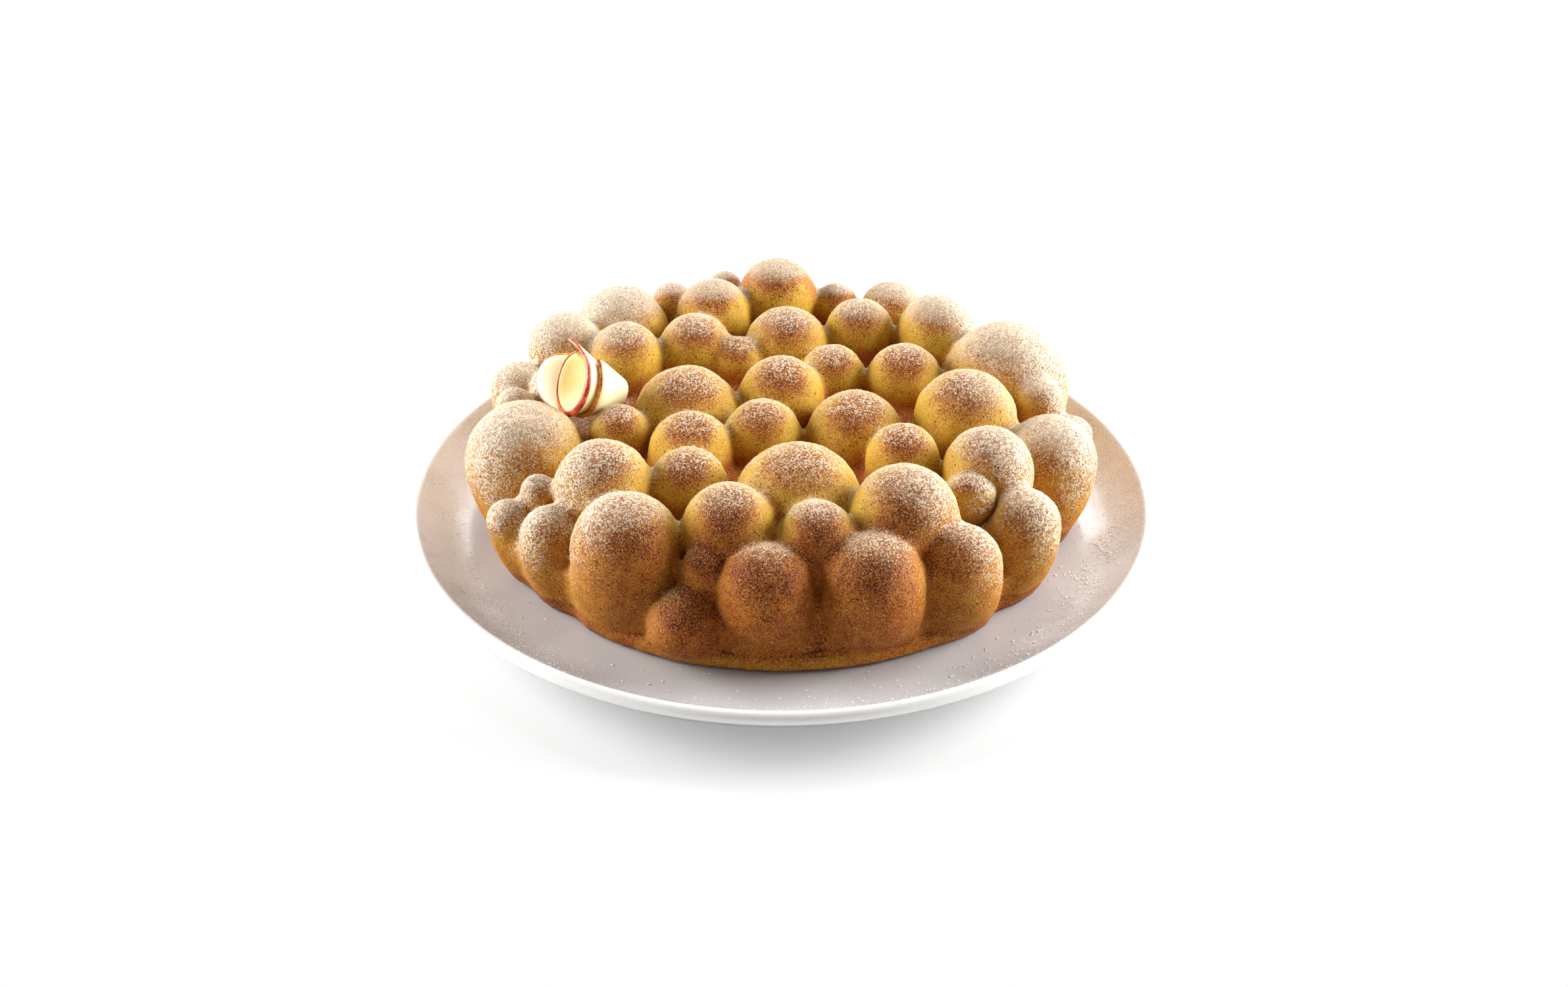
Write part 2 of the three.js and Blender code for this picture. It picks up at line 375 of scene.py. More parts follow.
def crust_material():
    material, tree, shader = new_material("sponge_crust")
    place = object_place(tree)
    grain = noise(tree, place, 0.6 * mm, 3.0, 0.7)
    speck = noise(tree, place, 0.55 * mm, 3.0, 0.6)
    mottle = noise(tree, place, 5 * mm, 3.0)
    # How dark the crumb is: baking, with painted shade and light in it
    baked_and_shaded = attribute(tree, "bake_and_shade")
    # How much sugar lies there, with painted light added to it
    dusted_and_lit = attribute(tree, "dust_and_light")
    coarse = attribute(tree, "coarse")
    grained = calc(tree, "MULTIPLY", remap(tree, grain, 0.25, 0.75, -0.5, 0.5), coarse)
    tone = calc(tree, "ADD", baked_and_shaded, grained)
    tone = calc(tree, "ADD", tone, remap(tree, mottle, 0.25, 0.75, -0.09, 0.09), clamp=True)
    crumb = ramp(tree, tone, [
        (0.0, colour(206, 170, 58)),
        (0.2, colour(190, 142, 46)),
        (0.4, colour(174, 112, 38)),
        (0.6, colour(166, 88, 30)),
        (0.8, colour(118, 54, 19)),
        (1.0, colour(58, 24, 9)),
    ])
    spread, luck = cells(tree, place, 0.6 * mm)
    lucky = remap(tree, luck, 0.2, 0.8, -0.3, 0.4)
    granule = calc(tree, "SUBTRACT", lucky, remap(tree, spread, 0.1, 0.7, 0.0, 0.3))
    cover = calc(tree, "ADD", dusted_and_lit, remap(tree, speck, 0.25, 0.75, -0.3, 0.3))
    cover = calc(tree, "ADD", cover, granule)
    sugar = remap(tree, cover, 0.36, 0.68)
    thick = remap(tree, dusted_and_lit, 0.3, 0.75)
    powder = blend_colours(tree, thick, colour(212, 184, 146), colour(216, 203, 182))
    # A thin film of sugar in a greyer tone, which also paints shade on the outer and rear bubbles
    crumb = blend_colours(tree, attribute(tree, "veil_and_shade"), crumb, colour(198, 180, 156))
    crumb = blend_colours(tree, sugar, crumb, powder)
    distance, chance = cells(tree, place, 1.8 * mm)
    narrowed = calc(tree, "ADD", distance, remap(tree, chance, 0.2, 0.8, -0.02, 0.2))
    shaded_pore = remap(tree, narrowed, 0.14, 0.26, 1.0, 0.0)
    shaded_pore = calc(tree, "MULTIPLY", shaded_pore, remap(tree, coarse, 0.55, 0.75))
    # Painted shade in the pores: they are darkened as well as dented
    crumb = blend_colours(tree, calc(tree, "MULTIPLY", shaded_pore, 0.65), crumb, colour(84, 40, 14))
    feed(tree, shader.inputs["Base Color"], crumb)
    feed(tree, shader.inputs["Roughness"], remap(tree, sugar, 0.0, 1.0, 0.55, 0.9))
    shader.inputs["Specular IOR Level"].default_value = 0.15
    grainy = calc(tree, "MULTIPLY", grain, coarse)
    rough = calc(tree, "ADD", grainy, calc(tree, "MULTIPLY", sugar, 0.5))
    pitted = calc(tree, "SUBTRACT", rough, shaded_pore)
    feed(tree, shader.inputs["Normal"], bump(tree, pitted, 0.4 * mm, 0.8))
    return material


def sugar_material(name, dull, bright):
    material, tree, shader = new_material(name)
    place = object_place(tree)
    shade = noise(tree, place, 1.5 * mm, 2.0)
    white = ramp(tree, shade, [(0.3, dull), (0.7, bright)])
    feed(tree, shader.inputs["Base Color"], white)
    feed(tree, shader.inputs["Roughness"], remap(tree, shade, 0.3, 0.7, 0.4, 0.6))
    return material


def glaze_material():
    material, tree, shader = new_material("plate_glaze")
    place = object_place(tree)
    cloud = noise(tree, place, 45 * mm, 3.0)
    fleck = noise(tree, place, 0.9 * mm, 2.0)
    away = length_of(tree, stretched(tree, place, (1.0, 1.0, 0.0)))
    lip = remap(tree, away, *lip_light_band)
    body = ramp(tree, cloud, [(0.3, colour(198, 197, 198)), (0.7, colour(206, 205, 206))])
    # The lip is lighter: painted light on the rim
    body = blend_colours(tree, lip, body, colour(234, 233, 231))
    body = blend_colours(tree, remap(tree, fleck, 0.66, 0.74, 0.0, 0.25), body, colour(205, 196, 188))
    fine = noise(tree, place, 0.5 * mm, 3.0, 0.65)
    drift = noise(tree, place, 24 * mm, 2.0)
    facing = axes_of(tree, tree.nodes.new("ShaderNodeNewGeometry").outputs["Normal"])
    spot = axes_of(tree, place)
    reach = calc(tree, "MULTIPLY", remap(tree, away, *frost_band), remap(tree, facing["Z"], 0.1, 0.4))
    reach = calc(tree, "MULTIPLY", reach, remap(tree, drift, 0.3, 0.7, 0.45, 0.75))
    reach = calc(tree, "MULTIPLY", reach, remap(tree, spot["Y"], *frost_front, 0.35, 1.0))
    cover = calc(tree, "ADD", reach, remap(tree, fine, 0.25, 0.75, -0.36, 0.36))
    frost = remap(tree, cover, 0.3, 0.6, 0.0, 0.8)
    body = blend_colours(tree, frost, body, colour(244, 244, 246))
    bare = remap(tree, spot["Z"], *bare_foot, 1.0, 0.0)
    feed(tree, shader.inputs["Base Color"], blend_colours(tree, bare, body, colour(198, 186, 170)))
    rough = calc(tree, "MAXIMUM", remap(tree, cloud, 0.3, 0.7, 0.12, 0.18), frost)
    rough = calc(tree, "MAXIMUM", rough, calc(tree, "MULTIPLY", bare, 0.75))
    feed(tree, shader.inputs["Roughness"], rough)
    shader.inputs["Specular IOR Level"].default_value = 0.45
    uneven = noise(tree, place, 16 * mm, 2.0)
    feed(tree, shader.inputs["Normal"], bump(tree, uneven, 0.25 * mm, 0.35))
    return material


def flesh_material():
    material, tree, shader = new_material("apple_flesh")
    place = object_place(tree)
    fibre = noise(tree, stretched(tree, place, (1.0, 1.0, 0.35)), 0.8 * mm, 3.0, 0.6)
    cloud = noise(tree, place, 6 * mm, 2.0)
    body = ramp(tree, cloud, [(0.3, colour(250, 240, 190)), (0.7, colour(252, 247, 222))])
    body = blend_colours(tree, remap(tree, fibre, 0.5, 0.75, 0.0, 0.3), body, colour(240, 222, 140))
    near_skin = attribute(tree, "skin")
    body = blend_colours(tree, near_skin, body, colour(244, 214, 110))
    feed(tree, shader.inputs["Base Color"], body)
    feed(tree, shader.inputs["Roughness"], remap(tree, fibre, 0.3, 0.7, 0.32, 0.48))
    shader.inputs["Subsurface Weight"].default_value = 0.35
    shader.inputs["Subsurface Radius"].default_value = (1.0, 0.85, 0.45)
    shader.inputs["Subsurface Scale"].default_value = 1.5 * mm
    feed(tree, shader.inputs["Normal"], bump(tree, fibre, 0.1 * mm, 0.5))
    return material


def skin_material(name, deep, mid, pale):
    material, tree, shader = new_material(name)
    place = object_place(tree)
    speck = noise(tree, place, 0.55 * mm, 2.0, 0.65)
    cloud = noise(tree, place, 5 * mm, 2.0)
    tone = calc(tree, "ADD", speck, remap(tree, cloud, 0.3, 0.7, -0.12, 0.12))
    skin = ramp(tree, tone, [(0.36, deep), (0.52, mid), (0.68, pale)])
    feed(tree, shader.inputs["Base Color"], skin)
    feed(tree, shader.inputs["Roughness"], remap(tree, speck, 0.3, 0.7, 0.28, 0.45))
    shader.inputs["Coat Weight"].default_value = 0.2
    shader.inputs["Coat Roughness"].default_value = 0.2
    feed(tree, shader.inputs["Normal"], bump(tree, speck, 0.08 * mm, 0.5))
    return material


# The crust: the cake's solid remeshed, with its creases rounded and its colours, painted light and shade
# among them, worked out from its form

def remeshed(node, size):
    """A copy of a node's mesh, rebuilt of even faces of the given size."""
    holder = bpy.data.objects.new("remesh_source", nodes[node].data.copy())
    bpy.context.collection.objects.link(holder)
    modifier = holder.modifiers.new("remesh", "REMESH")
    modifier.mode = "VOXEL"
    modifier.voxel_size = size
    depsgraph = bpy.context.evaluated_depsgraph_get()
    mesh = bpy.data.meshes.new_from_object(holder.evaluated_get(depsgraph))
    bpy.data.objects.remove(holder)
    return mesh


def close_underside(mesh, height):
    """Swaps the many faces of a flat underside for one."""
    work = bmesh.new()
    work.from_mesh(mesh)
    flat = []
    for face in work.faces:
        if all(abs(corner.co.z - height) < flat_limit for corner in face.verts):
            flat.append(face)
    bmesh.ops.delete(work, geom=flat, context="FACES")
    border = [edge for edge in work.edges if edge.is_boundary]
    bmesh.ops.edgeloop_fill(work, edges=border)
    bmesh.ops.recalc_face_normals(work, faces=work.faces)
    work.to_mesh(mesh)
    work.free()


def widest_wall(angle, reach, above):
    """The widest reach of the bubbles at each vertex's bearing, and the height it lies at."""
    sector = np.floor((angle + math.pi) / (2 * math.pi) * wall_sectors).astype(int) % wall_sectors
    bubbles = (reach > 80 * mm) & (above > 8 * mm)
    widest = np.full(wall_sectors, 100 * mm)
    height = np.full(wall_sectors, 20 * mm)
    for index in range(wall_sectors):
        found = np.nonzero(bubbles & (sector == index))[0]
        if len(found):
            best = found[np.argmax(reach[found])]
            widest[index] = reach[best]
            height[index] = above[best]
    for _ in range(3):
        widest = (np.roll(widest, 1) + 2 * widest + np.roll(widest, -1)) / 4
        height = (np.roll(height, 1) + 2 * height + np.roll(height, -1)) / 4
    middles = (np.arange(wall_sectors) + 0.5) / wall_sectors * 2 * math.pi - math.pi
    return (
        np.interp(angle, middles, widest, period=2 * math.pi),
        np.interp(angle, middles, height, period=2 * math.pi),
    )


def swollen(points, centre, radius):
    """The points, with those near the centre pushed out to a ball of that radius."""
    offset = points - np.array(centre)
    away = np.linalg.norm(offset, axis=1)
    wanted = 0.5 * (away + radius + np.sqrt((away - radius) ** 2 + small_bubble_blend ** 2))
    near = 1 - smooth_step(1.1 * radius, 1.6 * radius, away)
    return points + offset * (near * (wanted - away) / np.maximum(away, mm))[:, None]


def rounded_crust(base):
    """The cake's solid as an even mesh, with its creases rounded and a plain underside."""
    mesh = remeshed("cake", crust_mesh_size)
    points = points_of(mesh)
    on_base = points[:, 2] < base + crust_mesh_size * 0.6
    points = swollen(points, small_bubble, small_bubble_radius)
    points = relax(points, edges_of(mesh), fillet_rounds)
    points[on_base, 2] = base
    move_points(mesh, points)
    close_underside(mesh, base)
    return mesh


def measured(mesh, low, high):
    """What the crust's form, colours and sugar are worked out from, for each of its points."""
    points = points_of(mesh)
    normals = normals_of(mesh)
    smooth = relax(points, edges_of(mesh), relief_rounds)
    relief = ((points - smooth) * normals).sum(axis=1)
    base = low[2]
    above = points[:, 2] - base
    plan = points - np.array([0.0, (low[1] + high[1]) / 2, 0.0])
    reach = np.hypot(plan[:, 0], plan[:, 1])
    safe_reach = np.maximum(reach, mm)
    outward = (normals[:, 0] * plan[:, 0] + normals[:, 1] * plan[:, 1]) / safe_reach
    beside = np.abs(plan[:, 0]) / safe_reach
    wall = smooth_step(-0.7, 0.1, outward) * smooth_step(80 * mm, 100 * mm, reach)
    # Valleys and pits, made darker below: painted shade with baking
    valley = np.maximum(
        1 - smooth_step(-4.5 * mm, -0.8 * mm, relief),
        1 - smooth_step(31 * mm, 40 * mm, above),
    )
    line = band_height + 0.8 * mm * noise_at(points, 16 * mm, seed=2.3)
    return SimpleNamespace(
        points=points,
        normals=normals,
        up=normals[:, 2],
        toast_and_shade=normals @ np.array(toast_and_shade_direction),
        relief=relief,
        on_base=points[:, 2] < base + flat_limit,
        above=above,
        rise=np.clip(above / (high[2] - base), 0.0, 1.0),
        plan=plan,
        reach=reach,
        safe_reach=safe_reach,
        beside=beside,
        side_sector=smooth_step(0.2, 0.85, beside),
        outer=smooth_step(48 * mm, 98 * mm, reach),
        front=smooth_step(0.2, 0.7, -plan[:, 1] / safe_reach),
        wall=wall,
        pit_bake_and_shade=valley * (1 - wall) * (1 - smooth_step(90 * mm, 100 * mm, reach)),
        line=line,
        groove=groove_depth * np.exp(-((above - line) / groove_width) ** 2),
    )


def shaped(form, base):
    """The crust's points, made lumpy, with the wall filled at front and back and upright at the sides."""
    reach = form.reach
    above = form.above
    lump = noise_at(form.points, lump_size, seed=3.1)
    crumb = noise_at(form.points, crumb_size, seed=8.7)
    push = swell + lump_height * lump + crumb_height * crumb
    moved = form.points + form.normals * np.where(form.on_base, 0.0, push)[:, None]
    begun = smooth_step(*wall_start, reach)

    # Front and back: the wall between the bubbles is filled out to the foot, with a groove above it
    filled = foot_reach - fill_taper * smooth_step(band_height, fill_height, above)
    wider = 0.5 * (reach + filled + np.sqrt((reach - filled) ** 2 + fill_blend ** 2)) - 0.25 * fill_blend
    lower = begun * (1 - smooth_step(0.7 * fill_height, fill_height, above))
    shift = np.where(form.on_base, 0.0, lower * (np.maximum(wider - reach, 0.0) - form.groove))

    # Sides: the wall goes down from the widest place of its bubbles and draws in a little
    scalloped = smooth_step(0.4, 0.7, form.beside)
    widest, widest_height = widest_wall(np.arctan2(form.plan[:, 1], form.plan[:, 0]), reach, above)
    below = np.clip(1 - above / widest_height, 0.0, 1.0)
    foot = 0.65 * side_foot + 0.35 * (widest - 5 * mm)
    upright = widest - (widest - foot) * below ** 2
    upright = np.where(above < 1.4 * band_height, upright, np.maximum(reach, upright))
    upright = np.where(form.on_base, reach * foot / foot_reach, upright)
    drawn = begun * smooth_step(0.0, 0.2, below) * (upright - reach)

    shift = shift * (1 - scalloped) + drawn * scalloped
    moved[:, :2] += form.plan[:, :2] * (shift / form.safe_reach)[:, None]
    moved[:, 2] = np.maximum(moved[:, 2], base)
    return moved


def bake_and_shade_of(form):
    """How dark the crumb is, 0 to 1: crowns and pits more than flanks, the wall evenly. It is baking with
    painted shade and light: darker in pits, creases and the groove, on the front and on crowns facing it,
    and in the foot band at the sides; lighter on the wall at the sides.
    """
    # Crowns facing up and a little to the front are darkest: baking, and painted shade on their fronts
    crown = smooth_step(0.68, 0.98, form.toast_and_shade) * smooth_step(-1.5 * mm, 2.5 * mm, form.relief)
    # Hollows and pits are darker: baking, and painted shade in the creases
    hollow_bake_and_shade = 1 - smooth_step(-3.5 * mm, 1.0 * mm, form.relief)
    bake_and_shade = 0.12 + 0.55 * crown + (0.14 * hollow_bake_and_shade + 0.4 * form.pit_bake_and_shade) * (1 - crown)
    # Painted shade and light on the wall, with baking: darker on faces turned to the front, lighter at the
    # sides
    facing = smooth_step(0.0, 0.9, -form.normals[:, 1])
    wall_bake_and_shade = 0.47 + 0.1 * facing - 0.22 * form.side_sector + 0.06 * (1 - form.rise)
    wall_bake_and_shade += 0.2 * smooth_step(0.5, 0.95, form.toast_and_shade)
    bake_and_shade = bake_and_shade * (1 - form.wall) + wall_bake_and_shade * form.wall
    bake_and_shade += 0.06 * noise_at(form.points, 22 * mm, seed=5.5)
    band = form.wall * (1 - smooth_step(-0.6 * mm, 0.6 * mm, form.above - form.line))
    # The foot band is darker at the sides: painted shadow under the bubbles that hang over it
    bake_and_shade = bake_and_shade * (1 - band) + (0.42 + 0.2 * form.side_sector) * band
    # Painted shade in the groove
    bake_and_shade = bake_and_shade + 0.08 * form.groove / groove_depth * form.wall
    bake_and_shade = np.where(form.on_base, 0.8, bake_and_shade)
    return np.clip(bake_and_shade, 0.0, 1.0)


def dust_and_light_of(form):
    """How much sugar has settled, 0 to 1. Part of it is painted light: more on faces turned to the back
    and, on the side walls, to the nearer lamp.
    """
    up = form.up
    back = form.normals[:, 1]
    settle_and_light = smooth_step(0.13, 1.05, form.normals @ np.array(settle_and_light_direction))
    amount = 0.72 - 0.06 * form.outer + 0.14 * noise_at(form.points, 14 * mm, seed=1.9)
    dust_and_light = 0.06 * smooth_step(0.0, 0.5, up) + amount * settle_and_light
    # More on faces turned to the back: sugar, and painted light from behind
    dust_and_light += 0.3 * smooth_step(0.0, 0.5, back) * smooth_step(0.4, 0.8, up)

    # More on the walls and shoulders at the sides; on the walls only on the face turned to the nearer
    # lamp, so it is sugar and painted light there
    lateral = smooth_step(-0.1, 0.6, form.normals[:, 0] * np.sign(form.plan[:, 0]))
    sideways = 0.8 * form.wall * form.side_sector * lateral
    dust_and_light += sideways * smooth_step(-0.45, 0.1, up) * smooth_step(0.0, 0.4, form.rise)
    dust_and_light += 0.3 * form.outer * form.side_sector * smooth_step(-0.25, 0.45, up)

    # Less low on the front, more on the upper rims of the front row, which face the back: sugar and
    # painted light from behind
    centred = 1 - smooth_step(0.5, 0.8, form.beside)
    low_front = smooth_step(78 * mm, 92 * mm, form.reach) * form.front * centred
    dust_and_light *= 1 - 0.6 * low_front * (1 - smooth_step(36 * mm, 54 * mm, form.above))
    rim = smooth_step(-0.2, 0.35, back) * smooth_step(0.55, 0.85, up)
    dust_and_light += 0.4 * rim * form.front * form.outer

    # None in the creases and at the foot, and the thickest sugar evened out
    dust_and_light *= smooth_step(-4 * mm, 0.0, form.relief) * smooth_step(7 * mm, 14 * mm, form.above)
    return np.clip(dust_and_light - 0.6 * np.maximum(dust_and_light - 0.48, 0.0), 0.0, 1.0)


def veil_and_shade_of(form, dust_and_light):
    """How far a thin even film of sugar hides the crumb, on the outer and rear bubbles. Its greyer tone
    also paints shade, most on the rear bubbles.
    """
    veil_and_shade = smooth_step(60 * mm, 95 * mm, form.reach) * smooth_step(0.3, 0.9, form.up)
    veil_and_shade = veil_and_shade * smooth_step(0.2, 0.6, dust_and_light)
    # The rear bubbles get more of the greyer film: painted shade, with sugar
    rear_shade = smooth_step(10 * mm, 80 * mm, form.plan[:, 1]) * smooth_step(0.2, 0.8, form.up)
    rear_shade = rear_shade * smooth_step(0.15, 0.5, dust_and_light)
    return np.clip((0.55 - 0.4 * form.front) * veil_and_shade + 0.2 * rear_shade, 0.0, 0.7)


def cake_crust():
    """The crust's mesh, and how much sugar lies at each of its points, with painted light added to it."""
    low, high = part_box("cake")
    mesh = rounded_crust(low[2])
    form = measured(mesh, low, high)
    move_points(mesh, shaped(form, low[2]))
    dust_and_light = dust_and_light_of(form)
    coarse = 0.5 + 0.5 * smooth_step(0.3, 0.9, form.toast_and_shade) * (1 - form.pit_bake_and_shade)
    store(mesh, "bake_and_shade", bake_and_shade_of(form))
    store(mesh, "dust_and_light", dust_and_light)
    store(mesh, "veil_and_shade", veil_and_shade_of(form, dust_and_light))
    store(mesh, "coarse", np.maximum(coarse, 0.75 * form.wall))
    return mesh, dust_and_light


# Turned and rolled shapes

def curve_between(start, control, end, steps):
    """Points of a quadratic curve, without its first."""
    found = []
    for step in range(1, steps + 1):
        share = step / steps
        found.append(tuple(
            (1 - share) ** 2 * a + 2 * share * (1 - share) * b + share ** 2 * c
            for a, b, c in zip(start, control, end)
        ))
    return found


def arc_points(centre, radius, from_angle, to_angle, steps):
    found = []
    for step in range(steps + 1):
        angle = from_angle + (to_angle - from_angle) * step / steps
        found.append((centre[0] + radius * math.cos(angle), centre[1] + radius * math.sin(angle)))
    return found


def plate_outline():
    """Radius and height along the plate's section, from the middle of its underside round to its well."""
    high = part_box("plate")[1]
    lip = lip_thickness / 2
    lip_middle = (high[0] - lip, high[2] - lip)
    under_lip = (lip_middle[0], lip_middle[1] - lip)
    inner = foot_radius - foot_width
    inner_top = inner - foot_draft
    outer_top = foot_radius + foot_draft
    under_bend = (well_radius + flank_bend, foot_height)
    well_bend = (well_radius + flank_bend, well_height)
    quarter = math.pi / 2
    outline = [
        (0.0, foot_height),
        (inner * 0.5, foot_height),
        (inner_top - foot_round, foot_height),
        (inner_top, foot_height - foot_round),
        (inner - foot_round * 0.3, foot_round),
    ]
    outline += arc_points((inner + foot_round, foot_round), foot_round, 2 * quarter, 3 * quarter, 6)
    outline += arc_points((foot_radius - foot_round, foot_round), foot_round, -quarter, 0.0, 6)
    outline += [
        (outer_top, foot_height - foot_round),
        (outer_top + foot_round, foot_height),
        (flat_ring, foot_height),
        (well_radius, foot_height),
    ]
    outline += curve_between((well_radius, foot_height), under_bend, under_lip, 16)
    outline += arc_points(lip_middle, lip, -quarter, quarter + lip_roll, 20)[1:]
    outline += curve_between(outline[-1], well_bend, (well_radius, well_height), 18)
    outline += [(share * well_radius, well_height) for share in (0.9, 0.75, 0.5, 0.25, 0.0)]
    return outline


def turned(name, outline, segments):
    """A mesh turned about the Z axis. The outline starts and ends on the axis."""
    ring = outline[1:-1]
    points = [(0.0, 0.0, outline[0][1]), (0.0, 0.0, outline[-1][1])]
    for radius, height in ring:
        for step in range(segments):
            angle = 2 * math.pi * step / segments
            points.append((radius * math.cos(angle), radius * math.sin(angle), height))
    faces = []
    last = len(ring) - 1
    for step in range(segments):
        beside = (step + 1) % segments
        faces.append((0, 2 + beside, 2 + step))
        faces.append((1, 2 + last * segments + step, 2 + last * segments + beside))
        for row in range(last):
            here = 2 + row * segments
            above = here + segments
            faces.append((here + step, here + beside, above + beside, above + step))
    return mesh_of(name, points, faces)


def closing_angle(radius, spare):
    """The angle that a rolled slice stops short of a full turn by."""
    half = slice_thickness / 2
    return math.acos((radius - spare - half - seat_gap) / (radius + half))


def rolled_section(radius, spare, flap):
    """Points of a rolled slice at one radius, with their outward normals, from its free end."""
    foot = np.array([math.cos(flap_bearing), math.sin(flap_bearing)])
    along = np.array([-foot[1], foot[0]])
    section = []
    if flap > 0:
        for step in range(flap_steps):
            bend = flap * (1 - step / flap_steps) / flap_curl
            place = foot * (radius - flap_curl * (1 - math.cos(bend))) + along * flap_curl * math.sin(bend)
            section.append((place, foot * math.cos(bend) + along * math.sin(bend)))
    sweep = 2 * math.pi - closing_angle(radius, spare)
    for step in range(round_steps + 1):
        angle = flap_bearing - sweep * step / round_steps
        normal = np.array([math.cos(angle), math.sin(angle)])
        section.append((normal * radius, normal))
    return section


def sheet_line(slant):
    """Radius, height and lean of a rolled sheet at a slant. Past its rim it turns outward."""
    straight = min(slant, rim_slant + peel_depth + seat_gap)
    lean = cone_angle + (slant - straight) / lobe_curl
    radius = straight * math.sin(cone_angle) + lobe_curl * (math.cos(cone_angle) - math.cos(lean))
    height = straight * math.cos(cone_angle) + lobe_curl * (math.sin(lean) - math.sin(cone_angle))
    return radius, height, lean


def conical_sheet(name, section_at, width_at, depth_at, slant_steps, lift_at=None):
    """A closed sheet rolled on a cone. Slant runs from the cone's point along the sheet.

    width_at(share) gives the slants between which the sheet lies, and depth_at(share) its thickness,
    at a share of its way round. lift_at(share) moves it outward. Each cross-section is rounded off.
    """
    rings = []
    near_rim = []
    count = len(section_at(rim_radius))
    shape = rounded_outline(slant_steps)
    for step in range(count):
        share = step / (count - 1)
        inner, outer = width_at(share)
        depth = depth_at(share)
        lift = lift_at(share) if lift_at else 0.0
        ring = []
        for along, across in shape:
            slant = inner + (outer - inner) * along
            radius, height, lean = sheet_line(slant)
            point, normal = section_at(radius)[step]
            offset = depth * across / 2 + lift
            out = normal * math.cos(lean) * offset
            ring.append((point[0] + out[0], point[1] + out[1], height - math.sin(lean) * offset))
            close = max(0.0, 1 - abs(rim_slant - slant) / skin_reach)
            near_rim.append(0.5 * close if across < 0.5 else 0.2 * close)
        rings.append(ring)
    size = len(shape)
    points = [point for ring in rings for point in ring]
    faces = []
    for step in range(count - 1):
        for corner in range(size):
            beside = (corner + 1) % size
            here = step * size
            there = here + size
            faces.append((here + corner, there + corner, there + beside, here + beside))
    faces.append(tuple(range(size)))
    faces.append(tuple(reversed(range((count - 1) * size, count * size))))
    mesh = mesh_of(name, points, faces)
    store(mesh, "skin", np.array(near_rim))
    return mesh


def rounded_outline(steps):
    """A cross-section of a sheet: along it, 0 to 1, and across it, -1 to 1, with rounded ends."""
    upper = []
    for step in range(steps + 1):
        along = 0.5 - 0.5 * math.cos(math.pi * step / steps)
        across = (1 - abs(2 * along - 1) ** 8) ** 0.5
        upper.append((along, across))
    lower = [(along, -across) for along, across in reversed(upper[1:-1])]
    return upper + lower


